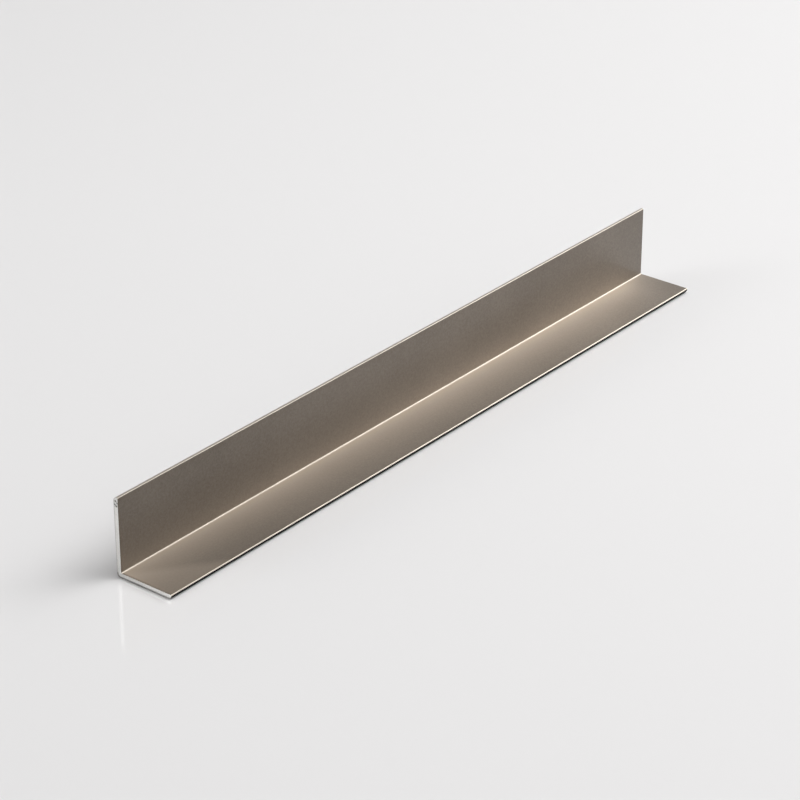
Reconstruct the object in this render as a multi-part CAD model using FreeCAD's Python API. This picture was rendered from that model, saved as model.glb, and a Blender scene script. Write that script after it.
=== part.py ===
import FreeCAD, Part

import math
import os

# An unequal angle section of anodised aluminium, a short cut length of it, lying on its narrow leg.
# All sizes are in millimetres. X runs along the length, Y across the flange, Z up.
# The origin is at the middle of the length and of the width, on the underside of the flange.
# The flange reaches towards -Y, and the back of the upright leg is the +Y side.

# Sizes of the stock
length = 250.0
upright_height = 25.0
flange_width = 20.0
wall_thickness = 1.5

# Roundings of the extruded section
heel_radius = 1.0
toe_radius = 1.0
root_radius = 0.4
arris_radius = 0.2

# The flat that is left on a toe between its rounded outer corner and its inner arris
toe_flat = 0.1

# The die can't round a toe or the heel by more than the metal there allows
toe_round = min(toe_radius, wall_thickness - arris_radius - toe_flat)
heel_round = min(heel_radius, wall_thickness + root_radius)

# Planes of the section
back = flange_width / 2
flange_toe = back - flange_width
upright_front = back - wall_thickness
underside = 0.0
flange_top = underside + wall_thickness
upright_toe = underside + upright_height


def section_point(across, up):
    """Return a point of the section, in the plane of the sawn end at -X."""
    return FreeCAD.Vector(-length / 2, across, up)


def rounded_outline(corners):
    """Return a closed wire through the corners, each rounded by an arc tangent to both of its sides.

    Each corner is a point and the radius of its rounding.
    """
    starts = []
    middles = []
    ends = []
    for place, (corner, radius) in enumerate(corners):
        previous_corner = corners[place - 1][0]
        next_corner = corners[(place + 1) % len(corners)][0]
        towards_previous = (previous_corner - corner).normalize()
        towards_next = (next_corner - corner).normalize()
        half_angle = towards_previous.getAngle(towards_next) / 2
        bisector = (towards_previous + towards_next).normalize()
        tangent_length = radius / math.tan(half_angle)
        corner_to_arc = radius / math.sin(half_angle) - radius
        starts.append(corner + towards_previous * tangent_length)
        middles.append(corner + bisector * corner_to_arc)
        ends.append(corner + towards_next * tangent_length)
    edges = []
    for place in range(len(corners)):
        edges.append(Part.Arc(starts[place], middles[place], ends[place]).toShape())
        next_start = starts[(place + 1) % len(corners)]
        edges.append(Part.LineSegment(ends[place], next_start).toShape())
    return Part.Wire(edges)


def angle_section():
    """Return the angle: its outline, rounded at the heel, the root and both toes, extruded along X."""
    corners = [
        (section_point(back, underside), heel_round),
        (section_point(back, upright_toe), toe_round),
        (section_point(upright_front, upright_toe), arris_radius),
        (section_point(upright_front, flange_top), root_radius),
        (section_point(flange_toe, flange_top), arris_radius),
        (section_point(flange_toe, underside), toe_round),
    ]
    section_face = Part.Face(rounded_outline(corners))
    return section_face.extrude(FreeCAD.Vector(length, 0, 0))


nodes = {
    "angle_section": angle_section(),
}

os.makedirs("parts", exist_ok=True)
for name, shape in nodes.items():
    assert shape.isValid(), name
    shape.exportStep(os.path.join("parts", name + ".step"))
    print(name, shape.ShapeType, round(shape.Volume), "cubic mm", len(shape.Faces), "faces")
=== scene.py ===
"""A short cut length of aluminium angle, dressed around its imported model.

The stock is extruded, etched matt, anodised a warm grey bronze and then sawn to length. Its long faces are
satin, and its two ends are bare, bright and marked by the saw.
"""

from __future__ import annotations

import logging
import math
from dataclasses import dataclass
from enum import Enum
from typing import Any

import bpy
from mathutils import Matrix, Vector

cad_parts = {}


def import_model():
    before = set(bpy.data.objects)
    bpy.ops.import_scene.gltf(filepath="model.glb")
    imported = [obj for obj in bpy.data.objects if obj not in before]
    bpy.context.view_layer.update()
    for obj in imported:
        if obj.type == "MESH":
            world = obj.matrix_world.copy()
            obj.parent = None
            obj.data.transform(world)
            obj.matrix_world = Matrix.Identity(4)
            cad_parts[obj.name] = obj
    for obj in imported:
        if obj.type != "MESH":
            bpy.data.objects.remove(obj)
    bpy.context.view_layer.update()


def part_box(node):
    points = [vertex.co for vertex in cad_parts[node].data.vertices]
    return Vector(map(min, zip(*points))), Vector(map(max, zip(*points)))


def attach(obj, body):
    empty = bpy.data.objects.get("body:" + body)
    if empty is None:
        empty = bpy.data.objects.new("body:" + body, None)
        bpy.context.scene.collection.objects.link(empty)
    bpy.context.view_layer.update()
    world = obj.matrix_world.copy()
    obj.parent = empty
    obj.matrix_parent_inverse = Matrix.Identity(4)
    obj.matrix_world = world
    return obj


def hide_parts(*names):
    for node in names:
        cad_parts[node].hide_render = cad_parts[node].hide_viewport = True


LOG = logging.getLogger("angle")
METRES_PER_MM = 0.001
CAD_NODE = "angle_section"
BODY = "root"
ALONG_ONLY = (1.0, 0.0, 0.0)
SECTION_ONLY = (0.0, 1.0, 1.0)
DISTANCE_DIGITS = 6
HEX_FULL = 255
SRGB_KNEE = 0.04045
SRGB_SLOPE = 12.92
SRGB_OFFSET = 0.055
SRGB_POWER = 2.4
SOFT_STEP = {"interpolation_type": "SMOOTHSTEP"}
# A light's own coordinates run from none to one, so this is the middle both ways.
LIGHT_MIDDLE = 0.5
# A mix node has several inputs and outputs of one name, so they are picked by their place.
MIX_SHARE = 0
MIX_NUMBER_A = 2
MIX_NUMBER_B = 3
MIX_COLOUR_A = 6
MIX_COLOUR_B = 7
MIXED_NUMBER = 0
MIXED_COLOUR = 2


class Mark(Enum):
    """What the angle's mesh says at each of its points, by the attribute's name.

    The marks say how far the saw tore an end, where the edges and the root get painted highlight lines,
    how much painted glow the inner faces get near the root, where the flange's toe gets painted shade,
    where the sawn ends get painted shade, and how far a point of the flange's upper face is from the
    upright.
    """

    TEAR = "tear"
    PAINTED_HIGHLIGHT = "rub"
    PAINTED_ROOT_GLOW = "recess"
    PAINTED_TOE_SHADE = "deep"
    PAINTED_END_SHADE = "lip"
    OPEN = "open"


def mm(value: float) -> float:
    """Return a length in millimetres as metres."""
    return value * METRES_PER_MM


def unit_vector(bearing: float, height: float) -> Vector:
    """Turn a bearing and a height into a direction.

    Args:
        bearing: Degrees on the floor, from +X towards +Y.
        height: Degrees above the floor.

    Returns:
        The direction, one metre long.
    """
    turn = math.radians(bearing)
    rise = math.radians(height)
    return Vector((math.cos(rise) * math.cos(turn), math.cos(rise) * math.sin(turn), math.sin(rise)))


def linear_colour(hex_value: str) -> tuple[float, float, float, float]:
    """Turn an sRGB hex colour into the linear colour that the shaders use.

    Args:
        hex_value: Six hex digits after a hash.

    Returns:
        The linear red, green, blue and a full alpha.
    """
    channels = []
    for byte in bytes.fromhex(hex_value.removeprefix("#")):
        srgb = byte / HEX_FULL
        if srgb <= SRGB_KNEE:
            channels.append(srgb / SRGB_SLOPE)
        else:
            channels.append(((srgb + SRGB_OFFSET) / (1 + SRGB_OFFSET)) ** SRGB_POWER)
    red, green, blue = channels
    return (red, green, blue, 1.0)


def add_node(
    tree: bpy.types.NodeTree,
    kind: str,
    settings: dict[str, Any] | None = None,
    inputs: dict[str | int, Any] | tuple[Any, ...] = (),
) -> bpy.types.Node:
    """Add a node to a tree, set its properties and fill its inputs.

    Args:
        tree: The tree that gets the node.
        kind: The node's type name.
        settings: The node's properties, by name.
        inputs: The node's inputs, by name or place, or a tuple of them in order. An output socket is linked,
            and any other thing becomes the input's value.

    Returns:
        The new node.
    """
    node = tree.nodes.new(kind)
    for name, value in (settings or {}).items():
        setattr(node, name, value)
    filled = inputs if isinstance(inputs, dict) else dict(enumerate(inputs))
    for name, value in filled.items():
        if isinstance(value, bpy.types.NodeSocket):
            tree.links.new(value, node.inputs[name])
        else:
            node.inputs[name].default_value = value
    return node


def new_material(name: str) -> tuple[bpy.types.Material, bpy.types.NodeTree]:
    """Make an empty node material.

    Args:
        name: The material's name.

    Returns:
        The material and its node tree.
    """
    material = bpy.data.materials.new(name)
    material.use_nodes = True
    material.node_tree.nodes.clear()
    return material, material.node_tree


@dataclass(frozen=True)
class Speckle:
    """A noise pattern: the size of its spots in millimetres, and how fine and how strong its detail is."""

    size: float
    detail: float
    roughness: float = 0.5

    def inputs(self, place: bpy.types.NodeSocket) -> dict[str, Any]:
        """Return the inputs of a noise node that lays the pattern over a place."""
        return {
            "Vector": place,
            "Scale": 1 / mm(self.size),
            "Detail": self.detail,
            "Roughness": self.roughness,
        }


@dataclass(frozen=True)
class SatinAnodisedAluminium:
    """Extruded aluminium, etched matt in caustic and anodised a warm grey bronze.

    The etched, dyed film scatters part of the light evenly, so the faces look soft and rather dark, with
    a fine mottle. The metal was drawn through a die along X, and its fine lines spread each reflection
    across the length. The inner faces are painted paler near the root as a painted glow of the light that
    bounces in the inside corner, though less so at the very ends, and the flange's open corner at -X is
    painted paler as a painted highlight. The faces are painted darker at -X and lighter towards +X, up to a
    darker rim at that end, as painted light and shade along the length. The rounded edges and the root get
    a lighter colour and a smoother finish as painted highlight lines. The underside of the flange's toe is
    painted near black with no gloss as painted shade. Sizes of the patterns are in millimetres.
    """

    colour: str = "#7b7268"
    deeper_colour: str = "#655c52"
    # The paler colour of the painted glow by the root and of the painted highlight on the open corner.
    painted_light_colour: str = "#beb0a0"
    # The near black of the painted shade on the toe's underside.
    toe_shade_colour: str = "#100e0d"
    # The lighter colour of the painted highlight lines.
    highlight_colour: str = "#c9c0b3"
    metallic: float = 0.7
    roughness: float = 0.45
    roughness_spread: float = 0.04
    highlight_roughness: float = 0.28
    toe_shade_roughness: float = 0.9
    spread_across: float = 0.7
    film_gloss: float = 0.25
    film_roughness: float = 0.2
    # How the painted glow by the root fades at each end.
    near_end_fade: float = 1.0
    far_end_fade: float = 14.0
    far_end_glow: float = 0.5
    # The painted highlight on the flange's open corner at -X.
    open_highlight: float = 0.26
    open_slant: float = 0.75
    open_start: float = -2.3
    open_full: float = 3.7
    # Painted light and shade along the length, and painted shade at the rim at +X.
    near_end_shade: float = 0.875
    far_end_shade: float = 1.09
    far_rim_shade: float = 0.9
    far_rim: float = 20.0
    grain: Speckle = Speckle(size=0.55, detail=4.0, roughness=0.7)
    grain_height: float = 0.002
    grain_share: float = 0.7
    clouds: Speckle = Speckle(size=35.0, detail=2.0)
    mottle_low: float = 0.34
    mottle_high: float = 0.66
    die_lines: Speckle = Speckle(size=0.5, detail=3.0, roughness=0.6)
    die_line_run: float = 300.0
    die_line_height: float = 0.0004

    def film(
        self, tree: bpy.types.NodeTree, place: bpy.types.NodeSocket, grain: bpy.types.NodeSocket
    ) -> bpy.types.NodeSocket:
        """Add the nodes of the film's fine mottle.

        Args:
            tree: The material's nodes.
            place: The place on the object.
            grain: The etched grain.

        Returns:
            The film's colour, between the two depths that the dye reached.
        """
        cloud = add_node(tree, "ShaderNodeTexNoise", None, self.clouds.inputs(place)).outputs["Fac"]
        mottle = add_node(
            tree, "ShaderNodeMix", {"data_type": "FLOAT"},
            {MIX_SHARE: self.grain_share, MIX_NUMBER_A: cloud, MIX_NUMBER_B: grain},
        ).outputs[MIXED_NUMBER]
        dye_taken = add_node(
            tree, "ShaderNodeMapRange", None,
            {"Value": mottle, "From Min": self.mottle_low, "From Max": self.mottle_high},
        ).outputs["Result"]
        return add_node(
            tree, "ShaderNodeMix", {"data_type": "RGBA"},
            {
                MIX_SHARE: dye_taken,
                MIX_COLOUR_A: linear_colour(self.colour),
                MIX_COLOUR_B: linear_colour(self.deeper_colour),
            },
        ).outputs[MIXED_COLOUR]

    def painted_light_share(
        self, tree: bpy.types.NodeTree, x_place: bpy.types.NodeSocket, length: float
    ) -> bpy.types.NodeSocket:
        """Add the nodes that find where the painted glow by the root and the painted highlight on the open
        corner go.

        Args:
            tree: The material's nodes.
            x_place: The place along the stock.
            length: The stock's length in millimetres.

        Returns:
            The share of the painted glow and the painted highlight, from none to one.
        """
        # Painted glow by the root, from light that bounces in the inside corner, fading at both ends.
        glow_share = add_node(
            tree, "ShaderNodeAttribute", {"attribute_name": Mark.PAINTED_ROOT_GLOW.value}
        ).outputs["Fac"]
        ends = (
            (-length / 2, self.near_end_fade, 0.0),
            (length / 2, -self.far_end_fade, self.far_end_glow),
        )
        for end, fade, least in ends:
            inboard = add_node(
                tree, "ShaderNodeMapRange", SOFT_STEP,
                {"Value": x_place, "From Min": mm(end), "From Max": mm(end + fade), "To Min": least},
            ).outputs["Result"]
            glow_share = add_node(
                tree, "ShaderNodeMath", {"operation": "MULTIPLY"}, (glow_share, inboard),
            ).outputs["Value"]
        # Painted highlight on the flange's open corner at -X, slanting in from the near end.
        from_upright = add_node(
            tree, "ShaderNodeAttribute", {"attribute_name": Mark.OPEN.value}
        ).outputs["Fac"]
        from_near_end = add_node(
            tree, "ShaderNodeMath", {"operation": "SUBTRACT"}, (x_place, mm(-length / 2)),
        ).outputs["Value"]
        into_open = add_node(
            tree, "ShaderNodeMath", {"operation": "MULTIPLY_ADD"},
            (from_near_end, -self.open_slant, from_upright),
        ).outputs["Value"]
        open_highlight_share = add_node(
            tree, "ShaderNodeMapRange", SOFT_STEP,
            {
                "Value": into_open,
                "From Min": mm(self.open_start),
                "From Max": mm(self.open_full),
                "To Max": self.open_highlight,
            },
        ).outputs["Result"]
        return add_node(
            tree, "ShaderNodeMath", {"operation": "ADD", "use_clamp": True}, (glow_share, open_highlight_share),
        ).outputs["Value"]

    def shade(
        self, tree: bpy.types.NodeTree, x_place: bpy.types.NodeSocket, length: float
    ) -> bpy.types.NodeSocket:
        """Add the nodes of the painted light and shade along the stock.

        Args:
            tree: The material's nodes.
            x_place: The place along the stock.
            length: The stock's length in millimetres.

        Returns:
            The factor that the film's colour is scaled by.
        """
        # Painted shade at -X, growing lighter towards +X.
        lengthwise_painted_shade = add_node(
            tree, "ShaderNodeMapRange", None,
            {
                "Value": x_place,
                "From Min": mm(-length / 2),
                "From Max": mm(length / 2),
                "To Min": self.near_end_shade,
                "To Max": self.far_end_shade,
            },
        ).outputs["Result"]
        # Painted shade over the last stretch at +X.
        rim_shade = add_node(
            tree, "ShaderNodeMapRange", SOFT_STEP,
            {
                "Value": x_place,
                "From Min": mm(length / 2 - self.far_rim),
                "From Max": mm(length / 2),
                "To Min": 1.0,
                "To Max": self.far_rim_shade,
            },
        ).outputs["Result"]
        return add_node(
            tree, "ShaderNodeMath", {"operation": "MULTIPLY"}, (lengthwise_painted_shade, rim_shade),
        ).outputs["Value"]

    def material(self, length: float) -> bpy.types.Material:
        """Build the node material.

        Args:
            length: The stock's length in millimetres.

        Returns:
            The material.
        """
        material, tree = new_material("anodised_aluminium_satin_etched")
        place = add_node(tree, "ShaderNodeTexCoord").outputs["Object"]
        x_place = add_node(tree, "ShaderNodeSeparateXYZ", None, {"Vector": place}).outputs["X"]
        # Painted highlight lines on the edges and the root.
        rub = add_node(tree, "ShaderNodeAttribute", {"attribute_name": Mark.PAINTED_HIGHLIGHT.value}).outputs["Fac"]
        # Painted shade on the underside of the flange's toe.
        deep = add_node(tree, "ShaderNodeAttribute", {"attribute_name": Mark.PAINTED_TOE_SHADE.value}).outputs["Fac"]
        run_ratio = self.die_lines.size / self.die_line_run
        along = add_node(
            tree, "ShaderNodeMapping", None, {"Vector": place, "Scale": (run_ratio, 1.0, 1.0)}
        ).outputs["Vector"]
        die_lines = add_node(tree, "ShaderNodeTexNoise", None, self.die_lines.inputs(along)).outputs["Fac"]
        grain = add_node(tree, "ShaderNodeTexNoise", None, self.grain.inputs(place)).outputs["Fac"]

        # Mix in the paler colour of the painted glow and the painted highlight.
        colour_with_painted_light = add_node(
            tree, "ShaderNodeMix", {"data_type": "RGBA"},
            {
                MIX_SHARE: self.painted_light_share(tree, x_place, length),
                MIX_COLOUR_A: self.film(tree, place, grain),
                MIX_COLOUR_B: linear_colour(self.painted_light_colour),
            },
        ).outputs[MIXED_COLOUR]
        # Scale the colour by the painted light and shade along the length.
        colour = add_node(
            tree, "ShaderNodeVectorMath", {"operation": "SCALE"},
            {"Vector": colour_with_painted_light, "Scale": self.shade(tree, x_place, length)},
        ).outputs["Vector"]
        # The toe's underside gets near black painted shade, and the edges and the root lighter painted
        # highlight lines.
        for share, over in ((deep, self.toe_shade_colour), (rub, self.highlight_colour)):
            colour = add_node(
                tree, "ShaderNodeMix", {"data_type": "RGBA"},
                {MIX_SHARE: share, MIX_COLOUR_A: colour, MIX_COLOUR_B: linear_colour(over)},
            ).outputs[MIXED_COLOUR]

        roughness = add_node(
            tree, "ShaderNodeMapRange", None,
            {
                "Value": grain,
                "To Min": self.roughness - self.roughness_spread,
                "To Max": self.roughness + self.roughness_spread,
            },
        ).outputs["Result"]
        for share, over in ((rub, self.highlight_roughness), (deep, self.toe_shade_roughness)):
            roughness = add_node(
                tree, "ShaderNodeMapRange", None, {"Value": share, "To Min": roughness, "To Max": over},
            ).outputs["Result"]
        # No coat gloss where the toe's underside is painted shade.
        gloss = add_node(
            tree, "ShaderNodeMapRange", None, {"Value": deep, "To Min": self.film_gloss, "To Max": 0.0},
        ).outputs["Result"]

        lines_bump = add_node(
            tree, "ShaderNodeBump", None,
            {"Height": die_lines, "Distance": mm(self.die_line_height), "Strength": 1.0},
        ).outputs["Normal"]
        grain_bump = add_node(
            tree, "ShaderNodeBump", None,
            {"Height": grain, "Distance": mm(self.grain_height), "Strength": 1.0, "Normal": lines_bump},
        ).outputs["Normal"]
        around = add_node(
            tree, "ShaderNodeTangent", {"direction_type": "RADIAL", "axis": "X"}
        ).outputs["Tangent"]
        shader = add_node(
            tree, "ShaderNodeBsdfPrincipled", None,
            {
                "Base Color": colour,
                "Metallic": self.metallic,
                "Roughness": roughness,
                "Normal": grain_bump,
                "Anisotropic": self.spread_across,
                "Tangent": around,
                "Coat Weight": gloss,
                "Coat Roughness": self.film_roughness,
            },
        )
        add_node(tree, "ShaderNodeOutputMaterial", None, {"Surface": shader.outputs["BSDF"]})
        return material


@dataclass(frozen=True)
class SawnBareAluminium:
    """Bare aluminium where the saw went through: bright, a little torn and finely scratched.

    Towards the outer faces, most on the flange's underside, the ends are painted darker and rougher as
    painted shade, less so towards the flange's toe. Sizes of the patterns are in millimetres.
    """

    colour: str = "#efeeeb"
    # The dark colour of the torn pits and smears, and of the painted shade on the ends.
    torn_and_shade_colour: str = "#64605b"
    roughness: float = 0.3
    torn_roughness: float = 0.7
    smears: Speckle = Speckle(size=0.5, detail=5.0, roughness=0.7)
    smear_share: float = 0.4
    end_shade_share: float = 0.75
    scratches: Speckle = Speckle(size=0.12, detail=2.0)
    scratch_height: float = 0.01

    def material(self) -> bpy.types.Material:
        """Build the node material and return it."""
        material, tree = new_material("bare_aluminium_sawn")
        place = add_node(tree, "ShaderNodeTexCoord").outputs["Object"]
        tear = add_node(tree, "ShaderNodeAttribute", {"attribute_name": Mark.TEAR.value}).outputs["Fac"]
        lip = add_node(tree, "ShaderNodeAttribute", {"attribute_name": Mark.PAINTED_END_SHADE.value}).outputs["Fac"]
        smear = add_node(tree, "ShaderNodeTexNoise", None, self.smears.inputs(place)).outputs["Fac"]
        smeared = add_node(
            tree, "ShaderNodeMath", {"operation": "MULTIPLY_ADD"}, (smear, self.smear_share, tear),
        ).outputs["Value"]
        # Painted shade on the outer side of the ends, added to the real tears and smears.
        dullness_and_shade = add_node(
            tree, "ShaderNodeMath", {"operation": "MULTIPLY_ADD", "use_clamp": True},
            (lip, self.end_shade_share, smeared),
        ).outputs["Value"]
        colour = add_node(
            tree, "ShaderNodeMix", {"data_type": "RGBA"},
            {
                MIX_SHARE: dullness_and_shade,
                MIX_COLOUR_A: linear_colour(self.colour),
                MIX_COLOUR_B: linear_colour(self.torn_and_shade_colour),
            },
        ).outputs[MIXED_COLOUR]
        roughness = add_node(
            tree, "ShaderNodeMapRange", None,
            {"Value": dullness_and_shade, "To Min": self.roughness, "To Max": self.torn_roughness},
        ).outputs["Result"]
        scratches = add_node(tree, "ShaderNodeTexNoise", None, self.scratches.inputs(place)).outputs["Fac"]
        bump = add_node(
            tree, "ShaderNodeBump", None,
            {"Height": scratches, "Distance": mm(self.scratch_height), "Strength": 1.0},
        ).outputs["Normal"]
        shader = add_node(
            tree, "ShaderNodeBsdfPrincipled", None,
            {"Base Color": colour, "Metallic": 1.0, "Roughness": roughness, "Normal": bump},
        )
        add_node(tree, "ShaderNodeOutputMaterial", None, {"Surface": shader.outputs["BSDF"]})
        return material


@dataclass(frozen=True)
class GlossWhiteAcrylic:
    """A polished pale sheet: white and even, with a clear reflection at low angles."""

    colour: str = "#eae9e9"
    roughness: float = 0.05
    refraction: float = 1.49

    def material(self) -> bpy.types.Material:
        """Build the node material and return it."""
        material, tree = new_material("acrylic_gloss_white")
        shader = add_node(
            tree, "ShaderNodeBsdfPrincipled", None,
            {"Base Color": linear_colour(self.colour), "Roughness": self.roughness, "IOR": self.refraction},
        )
        add_node(tree, "ShaderNodeOutputMaterial", None, {"Surface": shader.outputs["BSDF"]})
        return material


@dataclass(frozen=True)
class SawCut:
    """What the blade leaves on an end. Sizes are in millimetres.

    The teeth leave shallow arcs around the blade's centre, and here and there they tear out a small pit. The
    nicks are four larger tears at the top of the end at -X, each given by its place across, its place up and
    its radius. They are drawn out in the direction that the teeth moved.
    """

    blade_across: float = -60.0
    blade_up: float = 150.0
    mark_spacing: float = 0.62
    mark_depth: float = 0.03
    wander_size: float = 3.0
    wander_detail: float = 2.0
    wander: float = 2.5
    pit_spacing: float = 1.3
    pit_radius: float = 0.3
    pit_depth: float = 0.12
    pit_share: float = 0.22
    nicks: tuple[tuple[float, float, float], ...] = (
        (9.35, 23.8, 0.28),
        (8.8, 23.3, 0.22),
        (9.6, 22.7, 0.25),
        (9.1, 22.3, 0.3),
    )
    nick_stretch: float = 1.5
    nick_depth: float = 0.25


# A rib is its inner and its outer point, each as a place across and a place up.
Rib = tuple[tuple[float, float], tuple[float, float]]


@dataclass
class SawnAngle:
    """The angle: one extruded length with a rounded heel, root and toes, sawn square at both ends.

    Sizes are in millimetres and angles in degrees. X runs along the length, Y across the flange, and Z
    up. The section is laid out as ribs, each a line through the wall from its inner face to its outer
    face.
    """

    length: float
    flange_width: float
    upright_height: float
    back: float
    underside: float
    cut: SawCut
    wall: float = 1.5
    heel_radius: float = 1.0
    toe_radius: float = 1.0
    root_radius: float = 0.4
    arris_radius: float = 0.2
    rib_spacing: float = 0.15
    flat_within: float = 0.01
    layers: int = 12
    arc_steps: int = 12
    # Shares of painted highlight on the root, the top and the back.
    root_highlight: float = 0.6
    top_highlight: float = 0.7
    back_highlight: float = 0.75
    bright_toe_share: float = 0.5
    # Reach and strength of the painted glow by the root.
    root_glow_reach: float = 8.0
    upright_root_glow: float = 0.22
    # The painted shade on the sawn ends.
    flange_end_shade_start: float = 0.6
    flange_end_shade: float = 0.6
    upright_end_shade_start: float = 0.8
    upright_end_shade: float = 0.4
    end_shade_ramp: float = 0.15
    toe_ease: float = 0.25
    toe_ease_reach: float = 12.0
    weld_distance: float = 0.001
    end_facing: float = 0.6
    sharp_angle: float = 40.0

    def toe_ribs(self) -> list[tuple[float, float, float]]:
        """Return the ribs of a rounded toe.

        Returns:
            Each rib's distance from the toe's end, and the depths of its inner and its outer side.
        """
        distances = set()
        for step in range(self.arc_steps + 1):
            share = 1 - math.cos(math.pi / 2 * step / self.arc_steps)
            distances.add(round(self.toe_radius * share, DISTANCE_DIGITS))
            distances.add(round(self.arris_radius * share, DISTANCE_DIGITS))
        ribs = []
        for distance in sorted(distances):
            arris_gap = max(self.arris_radius - distance, 0.0)
            toe_gap = max(self.toe_radius - distance, 0.0)
            inner = self.arris_radius - math.sqrt(self.arris_radius ** 2 - arris_gap ** 2)
            outer = self.wall - self.toe_radius + math.sqrt(self.toe_radius ** 2 - toe_gap ** 2)
            ribs.append((distance, inner, outer))
        return ribs

    def leg_ribs(self, width: float) -> list[tuple[float, float, float]]:
        """Return the ribs of a leg from its toe to where the root's rounding starts.

        Args:
            width: The leg's width, from its toe to the outside of the heel.

        Returns:
            Each rib's distance from the toe's end, and the depths of its inner and its outer side.
        """
        ribs = self.toe_ribs()
        flat = width - self.wall - self.root_radius - self.toe_radius
        steps = math.ceil(flat / self.rib_spacing)
        for step in range(1, steps + 1):
            ribs.append((self.toe_radius + flat * step / steps, 0.0, self.wall))
        return ribs

    def corner_ribs(self) -> list[Rib]:
        """Return the ribs that fan out from the root's rounding to the heel's."""
        root_across = self.back - self.wall - self.root_radius
        root_up = self.underside + self.wall + self.root_radius
        heel_across = self.back - self.heel_radius
        heel_up = self.underside + self.heel_radius
        flat = heel_across - root_across
        flat_steps = math.ceil(flat / self.rib_spacing)
        outer = []
        for step in range(1, flat_steps):
            outer.append((root_across + flat * step / flat_steps, self.underside))
        for step in range(self.arc_steps + 1):
            angle = math.pi / 2 * step / self.arc_steps
            across = heel_across + self.heel_radius * math.sin(angle)
            outer.append((across, heel_up - self.heel_radius * math.cos(angle)))
        for step in range(1, flat_steps):
            outer.append((self.back, heel_up + flat * step / flat_steps))
        ribs = []
        for place, point in enumerate(outer, start=1):
            angle = math.pi / 2 * place / (len(outer) + 1)
            across = root_across + self.root_radius * math.sin(angle)
            ribs.append(((across, root_up - self.root_radius * math.cos(angle)), point))
        return ribs

    def ribs(self) -> list[Rib]:
        """Return every rib from the flange's toe, around the corner, to the upright's toe."""
        flange_toe = self.back - self.flange_width
        flange_top = self.underside + self.wall
        upright_front = self.back - self.wall
        upright_toe = self.underside + self.upright_height
        flange = []
        for distance, inner, outer in self.leg_ribs(self.flange_width):
            across = flange_toe + distance
            flange.append(((across, flange_top - inner), (across, flange_top - outer)))
        upright = []
        for distance, inner, outer in self.leg_ribs(self.upright_height):
            up = upright_toe - distance
            upright.append(((upright_front + inner, up), (upright_front + outer, up)))
        return flange + self.corner_ribs() + upright[::-1]

    def point(self, rib: Rib, layer: int) -> tuple[float, float]:
        """Return the place across and up of a rib's point, counted in layers from the inner face."""
        inner, outer = rib
        share = layer / self.layers
        return (inner[0] + (outer[0] - inner[0]) * share, inner[1] + (outer[1] - inner[1]) * share)

    def rub(self, rib: Rib, layer: int) -> float:
        """Return the share of painted highlight at a point: most on the flange's toe, less on the root, none
        on flats.
        """
        across, up = self.point(rib, layer)
        from_flange_toe = across - (self.back - self.flange_width)
        from_upright_toe = self.underside + self.upright_height - up
        if from_flange_toe < self.flat_within:
            return 1.0 if layer < self.layers * self.bright_toe_share else 0.0
        if from_upright_toe < self.flat_within:
            return self.top_highlight if layer < self.layers else self.back_highlight
        if layer == self.layers:
            return self.back_highlight if from_upright_toe < self.toe_radius - self.flat_within else 0.0
        if layer > 0:
            return 0.0
        if from_flange_toe < self.arris_radius - self.flat_within:
            return 1.0
        if from_upright_toe < self.arris_radius - self.flat_within:
            return self.top_highlight
        off_flange_top = up - (self.underside + self.wall) > self.flat_within
        off_upright_front = (self.back - self.wall) - across > self.flat_within
        return self.root_highlight if off_flange_top and off_upright_front else 0.0

    def recess(self, rib: Rib, layer: int) -> float:
        """Return the share of painted glow at a point of the inner faces: one at the root, and less farther
        off.
        """
        if layer > 0:
            return 0.0
        across, up = self.point(rib, layer)
        from_upright = self.back - self.wall - across
        from_root = math.hypot(from_upright, up - self.underside - self.wall)
        # The painted glow is weaker on the upright's face beside the root.
        most = 1.0 if from_upright > self.root_radius / 2 else self.upright_root_glow
        return most * math.exp(-from_root / self.root_glow_reach)

    def from_upright(self, rib: Rib, layer: int) -> float:
        """Return how far a point of the flange's upper face is from the upright, in metres.

        On the other faces it is less than none, so nothing there counts as open.
        """
        across, up = self.point(rib, layer)
        on_flange = layer == 0 and up < self.underside + self.wall + self.flat_within
        return mm(self.back - self.wall - across if on_flange else -self.flange_width)

    def deep(self, rib: Rib, layer: int) -> float:
        """Return the share of painted shade: one on the lower part and the outer rounding of the flange's
        toe, none elsewhere.
        """
        across = self.point(rib, layer)[0]
        from_flange_toe = across - (self.back - self.flange_width)
        if from_flange_toe < self.flat_within:
            return 0.0 if layer < self.layers * self.bright_toe_share else 1.0
        on_rounding = layer == self.layers and from_flange_toe < self.toe_radius - self.flat_within
        return 1.0 if on_rounding else 0.0

    def lip(self, rib: Rib, layer: int) -> float:
        """Return the share of painted shade on a sawn end at a point: more towards the outer faces, less by
        the toe.
        """
        across, up = self.point(rib, layer)
        on_flange = up < self.underside + self.wall
        start = self.flange_end_shade_start if on_flange else self.upright_end_shade_start
        most = self.flange_end_shade if on_flange else self.upright_end_shade
        # The painted shade grows towards the outer faces and eases by the flange's toe.
        past_start = (layer / self.layers - start) / self.end_shade_ramp
        from_flange_toe = across - (self.back - self.flange_width)
        eased_by_toe = self.toe_ease * max(1 - from_flange_toe / self.toe_ease_reach, 0.0)
        return most * min(max(past_start, 0.0), 1.0) - eased_by_toe

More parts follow.
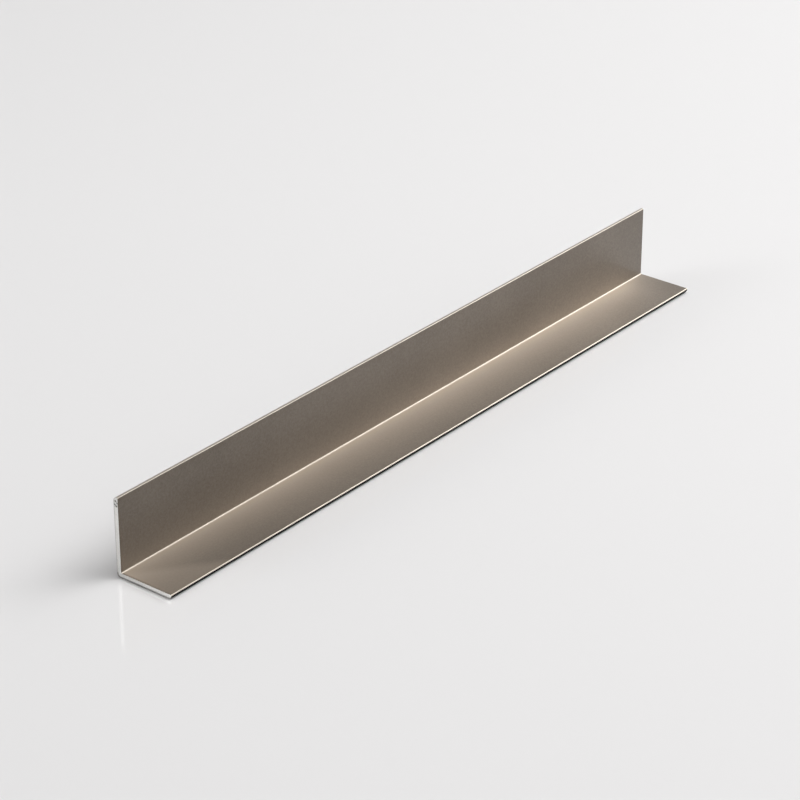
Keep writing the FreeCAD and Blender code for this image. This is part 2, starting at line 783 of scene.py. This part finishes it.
    def end_sheet(self) -> bpy.types.Mesh:
        """Return a flat grid of the section, facing along X, in the plane of the end at -X."""
        points = []
        faces = []
        ribs = self.ribs()
        for rib in ribs:
            for layer in range(self.layers + 1):
                across, up = self.point(rib, layer)
                points.append((-mm(self.length) / 2, mm(across), mm(up)))
        row = self.layers + 1
        for rib in range(len(ribs) - 1):
            for layer in range(self.layers):
                first = rib * row + layer
                faces.append((first, first + 1, first + row + 1, first + row))
        mesh = bpy.data.meshes.new("section_sheet")
        mesh.from_pydata(points, [], faces)
        shares = {
            Mark.PAINTED_HIGHLIGHT: self.rub,
            Mark.PAINTED_ROOT_GLOW: self.recess,
            Mark.PAINTED_TOE_SHADE: self.deep,
            Mark.PAINTED_END_SHADE: self.lip,
            Mark.OPEN: self.from_upright,
        }
        for mark, share in shares.items():
            values = [share(rib, layer) for rib in ribs for layer in range(row)]
            mesh.attributes.new(mark.value, "FLOAT", "POINT").data.foreach_set("value", values)
        mesh.update()
        return mesh

    def extrusion_tree(self) -> bpy.types.NodeTree:
        """Return the geometry nodes that push the section along the length and mark both sawn ends."""
        tree = bpy.data.node_groups.new("extrude_and_saw", "GeometryNodeTree")
        sockets = (
            ("Section", "NodeSocketGeometry"),
            ("Length", "NodeSocketFloat"),
            ("Blade centre", "NodeSocketVector"),
            ("Mark spacing", "NodeSocketFloat"),
            ("Mark depth", "NodeSocketFloat"),
            ("Wander size", "NodeSocketFloat"),
            ("Wander", "NodeSocketFloat"),
            ("Pit spacing", "NodeSocketFloat"),
            ("Pit radius", "NodeSocketFloat"),
            ("Pit depth", "NodeSocketFloat"),
            ("Pit share", "NodeSocketFloat"),
            ("Long faces", "NodeSocketMaterial"),
            ("Sawn ends", "NodeSocketMaterial"),
        )
        for name, kind in sockets:
            tree.interface.new_socket(name, in_out="INPUT", socket_type=kind)
        tree.interface.new_socket("Stock", in_out="OUTPUT", socket_type="NodeSocketGeometry")
        given = add_node(tree, "NodeGroupInput").outputs

        # The section is pushed along X, and a copy that faces the other way closes the end it started from.
        pushed = add_node(
            tree, "GeometryNodeExtrudeMesh", {"mode": "FACES"},
            {
                "Mesh": given["Section"],
                "Offset": ALONG_ONLY,
                "Offset Scale": given["Length"],
                "Individual": False,
            },
        ).outputs["Mesh"]
        near_cap = add_node(tree, "GeometryNodeFlipFaces", None, {"Mesh": given["Section"]}).outputs["Mesh"]
        joined = add_node(tree, "GeometryNodeJoinGeometry")
        tree.links.new(pushed, joined.inputs["Geometry"])
        tree.links.new(near_cap, joined.inputs["Geometry"])
        stock = add_node(
            tree, "GeometryNodeMergeByDistance", None,
            {"Geometry": joined.outputs["Geometry"], "Distance": mm(self.weld_distance)},
        ).outputs["Geometry"]

        # The teeth leave arcs around the blade's centre, and the arcs wander a little.
        position = add_node(tree, "GeometryNodeInputPosition").outputs["Position"]
        along = add_node(tree, "ShaderNodeSeparateXYZ", None, {"Vector": position}).outputs["X"]
        side = add_node(tree, "ShaderNodeMath", {"operation": "SIGN"}, (along,)).outputs["Value"]
        flat_place = add_node(
            tree, "ShaderNodeVectorMath", {"operation": "MULTIPLY"}, (position, SECTION_ONLY),
        ).outputs["Vector"]
        from_blade = add_node(
            tree, "ShaderNodeVectorMath", {"operation": "DISTANCE"}, (flat_place, given["Blade centre"]),
        ).outputs["Value"]
        wander_scale = add_node(
            tree, "ShaderNodeMath", {"operation": "DIVIDE"}, (1.0, given["Wander size"]),
        ).outputs["Value"]
        wander_noise = add_node(
            tree, "ShaderNodeTexNoise", None,
            {"Vector": position, "Scale": wander_scale, "Detail": self.cut.wander_detail},
        ).outputs["Fac"]
        turns = add_node(
            tree, "ShaderNodeMath", {"operation": "DIVIDE"}, (from_blade, given["Mark spacing"]),
        ).outputs["Value"]
        full_turn = add_node(
            tree, "ShaderNodeMath", {"operation": "MULTIPLY"}, (turns, math.tau),
        ).outputs["Value"]
        wandered = add_node(
            tree, "ShaderNodeMath", {"operation": "MULTIPLY_ADD"},
            (wander_noise, given["Wander"], full_turn),
        ).outputs["Value"]
        wave = add_node(tree, "ShaderNodeMath", {"operation": "SINE"}, (wandered,)).outputs["Value"]
        mark = add_node(
            tree, "ShaderNodeMapRange", None,
            {"Value": wave, "From Min": -1.0, "From Max": 1.0, "To Max": given["Mark depth"]},
        ).outputs["Result"]

        # A share of the cells of an even scatter is torn out as pits.
        pit_scale = add_node(
            tree, "ShaderNodeMath", {"operation": "DIVIDE"}, (1.0, given["Pit spacing"]),
        ).outputs["Value"]
        cells = add_node(
            tree, "ShaderNodeTexVoronoi", {"feature": "F1"}, {"Vector": position, "Scale": pit_scale},
        )
        from_cell = add_node(
            tree, "ShaderNodeMath", {"operation": "MULTIPLY"},
            (cells.outputs["Distance"], given["Pit spacing"]),
        ).outputs["Value"]
        bowl = add_node(
            tree, "ShaderNodeMapRange", SOFT_STEP,
            {"Value": from_cell, "From Max": given["Pit radius"], "To Min": 1.0, "To Max": 0.0},
        ).outputs["Result"]
        chance = add_node(
            tree, "ShaderNodeSeparateXYZ", None, {"Vector": cells.outputs["Color"]},
        ).outputs["X"]
        chosen = add_node(
            tree, "ShaderNodeMath", {"operation": "LESS_THAN"}, (chance, given["Pit share"]),
        ).outputs["Value"]
        torn = add_node(tree, "ShaderNodeMath", {"operation": "MULTIPLY"}, (bowl, chosen)).outputs["Value"]
        depth = add_node(
            tree, "ShaderNodeMath", {"operation": "MULTIPLY_ADD"}, (torn, given["Pit depth"], mark),
        ).outputs["Value"]
        outwards = add_node(tree, "ShaderNodeMath", {"operation": "MULTIPLY"}, (depth, side)).outputs["Value"]
        inwards = add_node(
            tree, "ShaderNodeMath", {"operation": "MULTIPLY"}, (outwards, -1.0),
        ).outputs["Value"]
        offset = add_node(tree, "ShaderNodeCombineXYZ", None, {"X": inwards}).outputs["Vector"]
        marked = add_node(
            tree, "GeometryNodeStoreNamedAttribute", {"data_type": "FLOAT", "domain": "POINT"},
            {"Geometry": stock, "Name": Mark.TEAR.value, "Value": torn},
        ).outputs["Geometry"]
        sawn = add_node(
            tree, "GeometryNodeSetPosition", None, {"Geometry": marked, "Offset": offset},
        ).outputs["Geometry"]

        # The faces that look along X are the sawn ends.
        facing = add_node(tree, "GeometryNodeInputNormal").outputs["Normal"]
        facing_along = add_node(tree, "ShaderNodeSeparateXYZ", None, {"Vector": facing}).outputs["X"]
        facing_either = add_node(
            tree, "ShaderNodeMath", {"operation": "ABSOLUTE"}, (facing_along,),
        ).outputs["Value"]
        is_end = add_node(
            tree, "FunctionNodeCompare", {"data_type": "FLOAT", "operation": "GREATER_THAN"},
            {"A": facing_either, "B": self.end_facing},
        ).outputs["Result"]
        whole = add_node(tree, "GeometryNodeRealizeInstances", None, {"Geometry": sawn}).outputs["Geometry"]
        dressed = add_node(
            tree, "GeometryNodeSetMaterial", None, {"Geometry": whole, "Material": given["Long faces"]},
        ).outputs["Geometry"]
        dressed_ends = add_node(
            tree, "GeometryNodeSetMaterial", None,
            {"Geometry": dressed, "Selection": is_end, "Material": given["Sawn ends"]},
        ).outputs["Geometry"]
        add_node(tree, "NodeGroupOutput", None, {"Stock": dressed_ends})
        return tree

    def tear_nicks(self, mesh: bpy.types.Mesh) -> None:
        """Press the saw's nicks into the end at -X.

        Args:
            mesh: The angle's mesh, which is changed.
        """
        tear = mesh.attributes[Mark.TEAR.value].data
        for vertex in mesh.vertices:
            if vertex.co.x > 0:
                continue
            for across, up, radius in self.cut.nicks:
                towards_blade = math.atan2(self.cut.blade_up - up, self.cut.blade_across - across)
                from_nick = Vector((vertex.co.y - mm(across), vertex.co.z - mm(up)))
                off = Matrix.Rotation(-towards_blade, 2) @ from_nick
                distance = math.hypot(off.x, off.y / self.cut.nick_stretch)
                bowl = max(1 - (distance / mm(radius)) ** 2, 0.0)
                vertex.co.x += mm(self.cut.nick_depth) * bowl
                tear[vertex.index].value = max(tear[vertex.index].value, bowl)

    def build(self, long_faces: bpy.types.Material, sawn_ends: bpy.types.Material) -> bpy.types.Object:
        """Make the angle as one plain mesh.

        Args:
            long_faces: The finish of the extruded faces.
            sawn_ends: The finish of both ends.

        Returns:
            The finished piece, at the origin, with its place in its mesh.
        """
        sheet = bpy.data.objects.new("section_sheet", self.end_sheet())
        bpy.context.scene.collection.objects.link(sheet)
        modifier = sheet.modifiers.new("extrude_and_saw", "NODES")
        modifier.node_group = self.extrusion_tree()
        values = {
            "Length": mm(self.length),
            "Blade centre": (0.0, mm(self.cut.blade_across), mm(self.cut.blade_up)),
            "Mark spacing": mm(self.cut.mark_spacing),
            "Mark depth": mm(self.cut.mark_depth),
            "Wander size": mm(self.cut.wander_size),
            "Wander": self.cut.wander,
            "Pit spacing": mm(self.cut.pit_spacing),
            "Pit radius": mm(self.cut.pit_radius),
            "Pit depth": mm(self.cut.pit_depth),
            "Pit share": self.cut.pit_share,
            "Long faces": long_faces,
            "Sawn ends": sawn_ends,
        }
        for socket in modifier.node_group.interface.items_tree:
            if socket.name in values:
                modifier[socket.identifier] = values[socket.name]
        bpy.context.view_layer.update()
        graph = bpy.context.evaluated_depsgraph_get()
        mesh = bpy.data.meshes.new_from_object(sheet.evaluated_get(graph))
        bpy.data.objects.remove(sheet)
        mesh.name = "sawn_angle"
        self.tear_nicks(mesh)
        mesh.shade_smooth()
        mesh.set_sharp_from_angle(angle=math.radians(self.sharp_angle))
        piece = bpy.data.objects.new("sawn_angle", mesh)
        bpy.context.scene.collection.objects.link(piece)
        return piece


@dataclass(frozen=True)
class Softbox:
    """A soft studio light, aimed at the middle of the floor. Lengths are in metres and angles in degrees.

    The bearing is measured on the floor from +X towards +Y, and the height is the light's angle above it. The
    cloth is brightest in the middle and fades to its edges, so a reflection of it has no hard outline.
    """

    name: str
    bearing: float
    height: float
    width: float
    tall: float
    power: float
    distance: float = 1.9
    colour: str = "#ffffff"
    edge_fade: float = 0.8

    def fade_edges(self, data: bpy.types.AreaLight) -> None:
        """Let the light fade towards its edges.

        Args:
            data: The light's data, which is changed.
        """
        data.use_nodes = True
        tree = data.node_tree
        tree.nodes.clear()
        place = add_node(tree, "ShaderNodeNewGeometry").outputs["Parametric"]
        from_middle = add_node(
            tree, "ShaderNodeVectorMath", {"operation": "SUBTRACT"},
            (place, (LIGHT_MIDDLE, LIGHT_MIDDLE, 0.0)),
        ).outputs["Vector"]
        distance = add_node(
            tree, "ShaderNodeVectorMath", {"operation": "ABSOLUTE"}, (from_middle,),
        ).outputs["Vector"]
        sides = add_node(tree, "ShaderNodeSeparateXYZ", None, {"Vector": distance}).outputs
        fades = []
        for side in ("X", "Y"):
            fade = add_node(
                tree, "ShaderNodeMapRange", SOFT_STEP,
                {
                    "Value": sides[side],
                    "From Min": LIGHT_MIDDLE * (1 - self.edge_fade),
                    "From Max": LIGHT_MIDDLE,
                    "To Min": 1.0,
                    "To Max": 0.0,
                },
            )
            fades.append(fade.outputs["Result"])
        strength = add_node(
            tree, "ShaderNodeMath", {"operation": "MULTIPLY"}, tuple(fades),
        ).outputs["Value"]
        cloth = add_node(tree, "ShaderNodeEmission", None, {"Strength": strength})
        add_node(tree, "ShaderNodeOutputLight", None, {"Surface": cloth.outputs["Emission"]})

    def build(self) -> bpy.types.Object:
        """Hang the light, aim it and return it."""
        data = bpy.data.lights.new(self.name, "AREA")
        data.shape = "RECTANGLE"
        data.size = self.width
        data.size_y = self.tall
        data.energy = self.power
        data.color = linear_colour(self.colour)[:3]
        self.fade_edges(data)
        light = bpy.data.objects.new(self.name, data)
        bpy.context.scene.collection.objects.link(light)
        outwards = unit_vector(self.bearing, self.height)
        light.location = outwards * self.distance
        light.rotation_euler = outwards.to_track_quat("Z", "Y").to_euler()
        return light


@dataclass(frozen=True)
class Studio:
    """The plain pale room around the angle. Lengths are in metres and angles in degrees."""

    floor_radius: float = 4.0
    floor_sides: int = 96
    floor_gap: float = 0.00002
    room_colour: str = "#f6f6f6"
    wall_light: float = 0.35
    ceiling_light: float = 0.05
    wall_top: float = 22.0
    wall_fade: float = 40.0
    sweep_bearing: float = 39.0
    sweep_light: float = 0.2
    sweep_width: float = 75.0
    sweep_full_width: float = 30.0
    lights: tuple[Softbox, ...] = (
        Softbox("key_softbox", bearing=-47.0, height=52.0, width=2.0, tall=1.67, power=40.6),
        Softbox("side_softbox", bearing=-17.0, height=33.0, width=2.5, tall=1.17, power=61.4),
        Softbox("back_softbox", bearing=141.0, height=27.0, width=1.3, tall=1.0, power=18.7),
        Softbox("top_softbox", bearing=-90.0, height=86.0, width=1.67, tall=1.67, power=29.1),
    )

    def room(self) -> bpy.types.World:
        """Return the room's own light: pale walls, a dim ceiling and a brighter sweep behind the angle."""
        world = bpy.data.worlds.new("soft_room")
        world.use_nodes = True
        tree = world.node_tree
        tree.nodes.clear()
        outlook = add_node(tree, "ShaderNodeTexCoord").outputs["Generated"]
        up = add_node(tree, "ShaderNodeSeparateXYZ", None, {"Vector": outlook}).outputs["Z"]
        walls = add_node(
            tree, "ShaderNodeMapRange", SOFT_STEP,
            {
                "Value": up,
                "From Min": math.sin(math.radians(self.wall_top)),
                "From Max": math.sin(math.radians(self.wall_fade)),
                "To Min": self.wall_light,
                "To Max": self.ceiling_light,
            },
        ).outputs["Result"]
        towards_sweep = add_node(
            tree, "ShaderNodeVectorMath", {"operation": "DOT_PRODUCT"},
            (outlook, unit_vector(self.sweep_bearing, 0.0)),
        ).outputs["Value"]
        sweep = add_node(
            tree, "ShaderNodeMapRange", SOFT_STEP,
            {
                "Value": towards_sweep,
                "From Min": math.cos(math.radians(self.sweep_width)),
                "From Max": math.cos(math.radians(self.sweep_full_width)),
                "To Max": self.sweep_light,
            },
        ).outputs["Result"]
        strength = add_node(tree, "ShaderNodeMath", {"operation": "ADD"}, (walls, sweep)).outputs["Value"]
        background = add_node(
            tree, "ShaderNodeBackground", None,
            {"Color": linear_colour(self.room_colour), "Strength": strength},
        )
        add_node(tree, "ShaderNodeOutputWorld", None, {"Surface": background.outputs["Background"]})
        return world

    def build(self, finish: GlossWhiteAcrylic) -> list[bpy.types.Object]:
        """Lay the floor, light the room and hang the lights.

        Args:
            finish: The floor's finish.

        Returns:
            The floor and the lights.
        """
        bpy.ops.mesh.primitive_circle_add(
            vertices=self.floor_sides,
            radius=self.floor_radius,
            fill_type="NGON",
            location=(0, 0, -self.floor_gap),
        )
        floor = bpy.context.object
        floor.name = "pale_floor"
        floor.data.materials.append(finish.material())
        bpy.context.scene.world = self.room()
        bpy.context.scene.view_settings.view_transform = "Standard"
        return [floor, *(light.build() for light in self.lights)]


@dataclass(frozen=True)
class CopyCamera:
    """A long lens that stands where the photograph was taken from.

    The camera looks at a point of the floor. Its view runs along the bearing, from +X towards +Y, and down.
    Lengths are in metres, angles in degrees, and the sizes of the lens and the sensor in millimetres.
    """

    aim: tuple[float, float, float] = (0.00569, 0.01552, 0.0)
    distance: float = 0.8962
    bearing: float = 38.703
    downwards: float = 27.237
    roll: float = -0.047
    focal_length: float = 131.9
    sensor_width: float = 36.0
    nearest: float = 0.01
    farthest: float = 50.0

    def build(self) -> bpy.types.Object:
        """Set the camera up, make it the scene's own and return it."""
        data = bpy.data.cameras.new("copy_camera")
        data.lens = self.focal_length
        data.sensor_width = self.sensor_width
        data.clip_start = self.nearest
        data.clip_end = self.farthest
        camera = bpy.data.objects.new("copy_camera", data)
        bpy.context.scene.collection.objects.link(camera)
        view = unit_vector(self.bearing, -self.downwards)
        camera.location = Vector(self.aim) - view * self.distance
        turn = view.to_track_quat("-Z", "Y").to_matrix().to_4x4()
        turn = turn @ Matrix.Rotation(math.radians(self.roll), 4, "Z")
        camera.rotation_euler = turn.to_euler()
        bpy.context.scene.camera = camera
        return camera


def main() -> None:
    """Build the angle, the studio and the camera, in that order, and log the face count and the camera's
    place.
    """
    logging.basicConfig(level=logging.INFO, format="%(message)s")
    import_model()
    low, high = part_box(CAD_NODE)
    angle = SawnAngle(
        length=(high.x - low.x) / METRES_PER_MM,
        flange_width=(high.y - low.y) / METRES_PER_MM,
        upright_height=(high.z - low.z) / METRES_PER_MM,
        back=high.y / METRES_PER_MM,
        underside=low.z / METRES_PER_MM,
        cut=SawCut(),
    )
    long_faces = SatinAnodisedAluminium().material(angle.length)
    piece = angle.build(long_faces, SawnBareAluminium().material())
    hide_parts(CAD_NODE)
    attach(piece, BODY)
    LOG.info("sawn_angle: %d faces", len(piece.data.polygons))
    for thing in Studio().build(GlossWhiteAcrylic()):
        LOG.info("%s: in place", thing.name)
    camera = CopyCamera().build()
    LOG.info("%s: at %.4f, %.4f, %.4f m", camera.name, *camera.location)


if __name__ == "__main__":
    main()
